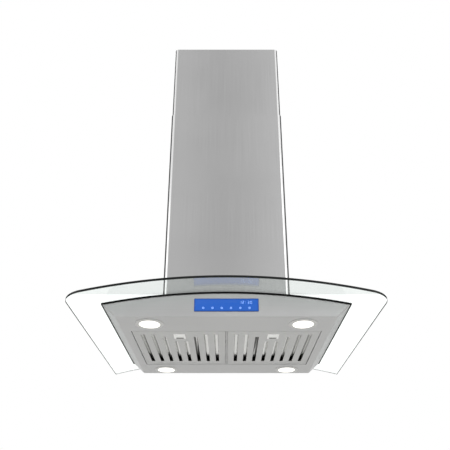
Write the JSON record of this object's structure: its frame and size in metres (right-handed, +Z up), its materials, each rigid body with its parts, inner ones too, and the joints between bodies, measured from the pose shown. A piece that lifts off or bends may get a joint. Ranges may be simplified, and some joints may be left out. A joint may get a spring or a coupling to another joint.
{
  "type": "island range hood",
  "caption": "Ceiling-hung island range hood with a curved glass canopy, telescopic chimney, baffle grease filters, lights and a touch panel.",
  "frame": {"origin": "centre of the ceiling plate's top face, on the ceiling", "axes": "+Z up, front of the hood towards -Y, +X to the right of someone facing the panel"},
  "size_m": [0.75, 0.65, 0.9785],
  "materials": {
    "stainless": "brushed stainless sheet",
    "baffle_steel": "satin stainless sheet",
    "zinc_sheet": "galvanised sheet",
    "fastener": "zinc plated",
    "glass": "clear tempered",
    "seal": "matt black",
    "panel": "blue back-lit touch glass",
    "board": "circuit board",
    "black_plastic": "moulded",
    "white_plastic": "moulded",
    "lamp_lens": "frosted, lit",
    "heat_sink": "die cast",
    "scroll_plastic": "moulded dark grey",
    "motor_steel": "black enamel",
    "shaft_steel": "ground steel",
    "damper_metal": "rolled sheet",
    "wire": "sleeved leads",
    "charcoal_plastic": "moulded black",
    "charcoal": "granules under mesh"
  },
  "bodies": {
    "ceiling_mount": {"ceiling_plate": "zinc_sheet", "upper_frame": "zinc_sheet", "frame_bolts": "fastener", "upper_chimney": "stainless", "chimney_screws": "fastener"},
    "hood": {"lower_frame": "zinc_sheet", "foot_bolts": "fastener", "height_bolts": "fastener", "motor_box": "zinc_sheet", "clamp_screws": "fastener", "edge_seal": "seal", "glass_canopy": "glass", "body_seal": "seal", "top_plate": "stainless", "hood_shell": "stainless", "centre_bar": "stainless", "control_lens": "panel", "display_module": "board", "control_housing": "black_plastic", "led_driver": "white_plastic", "wiring_harness": "wire", "front_left_bezel": "stainless", "front_left_lens": "lamp_lens", "front_left_lamp": "heat_sink", "front_right_bezel": "stainless", "front_right_lens": "lamp_lens", "front_right_lamp": "heat_sink", "rear_left_bezel": "stainless", "rear_left_lens": "lamp_lens", "rear_left_lamp": "heat_sink", "rear_right_bezel": "stainless", "rear_right_lens": "lamp_lens", "rear_right_lamp": "heat_sink", "scroll_left": "scroll_plastic", "scroll_right": "scroll_plastic", "inlet_left": "scroll_plastic", "inlet_right": "scroll_plastic", "motor": "motor_steel", "capacitor": "white_plastic", "power_box": "black_plastic", "cable_gland": "black_plastic", "outlet_collar": "zinc_sheet", "damper_pin": "fastener"},
    "lower_cover": {"lower_chimney": "stainless"},
    "fan": {"impeller": "scroll_plastic", "motor_shaft": "shaft_steel"},
    "flap_left": {"damper_flap_left": "damper_metal"},
    "flap_right": {"damper_flap_right": "damper_metal"},
    "filter_left": {"filter_left_face": "baffle_steel", "filter_left_inner": "baffle_steel", "filter_left_spring": "fastener"},
    "filter_right": {"filter_right_face": "baffle_steel", "filter_right_inner": "baffle_steel", "filter_right_spring": "fastener"},
    "latch_left": {"filter_left_latch": "baffle_steel"},
    "latch_right": {"filter_right_latch": "baffle_steel"},
    "charcoal_left": {"charcoal_left_case": "charcoal_plastic", "charcoal_left_media": "charcoal"},
    "charcoal_right": {"charcoal_right_case": "charcoal_plastic", "charcoal_right_media": "charcoal"}
  },
  "joints": [
    {"name": "hood_height", "type": "slide", "parent": "ceiling_mount", "child": "hood", "axis": [0, 0, 1], "range_m": [-0.2, 0.12]},
    {"name": "cover_lift", "type": "slide", "parent": "hood", "child": "lower_cover", "axis": [0, 0, 1], "range_m": [0, 0.12]},
    {"name": "fan_spin", "type": "hinge", "parent": "hood", "child": "fan", "pos_m": [0, -0.03, -0.762], "axis": [1, 0, 0], "continuous": true},
    {"name": "flap_left_swing", "type": "hinge", "parent": "hood", "child": "flap_left", "pos_m": [0, 0, -0.594], "axis": [0, 1, 0], "range_deg": [0, 75]},
    {"name": "flap_right_swing", "type": "hinge", "parent": "hood", "child": "flap_right", "pos_m": [0, 0, -0.594], "axis": [0, -1, 0], "range_deg": [0, 75]},
    {"name": "filter_left_drop", "type": "hinge", "parent": "hood", "child": "filter_left", "pos_m": [-0.1225, 0.143, -0.974], "axis": [1, 0, 0], "range_deg": [0, 75]},
    {"name": "filter_right_drop", "type": "hinge", "parent": "hood", "child": "filter_right", "pos_m": [0.1225, 0.143, -0.974], "axis": [1, 0, 0], "range_deg": [0, 75]},
    {"name": "latch_left_slide", "type": "slide", "parent": "filter_left", "child": "latch_left", "axis": [0, 1, 0], "range_m": [0, 0.006], "stiffness_N_per_m": 400, "springref_m": -0.004, "deforming": ["filter_left_spring"]},
    {"name": "latch_right_slide", "type": "slide", "parent": "filter_right", "child": "latch_right", "axis": [0, 1, 0], "range_m": [0, 0.006], "stiffness_N_per_m": 400, "springref_m": -0.004, "deforming": ["filter_right_spring"]},
    {"name": "charcoal_left_twist", "type": "hinge", "parent": "hood", "child": "charcoal_left", "pos_m": [-0.082, -0.03, -0.762], "axis": [-1, 0, 0], "range_deg": [0, 30]},
    {"name": "charcoal_right_twist", "type": "hinge", "parent": "hood", "child": "charcoal_right", "pos_m": [0.082, -0.03, -0.762], "axis": [1, 0, 0], "range_deg": [0, 30]}
  ]
}
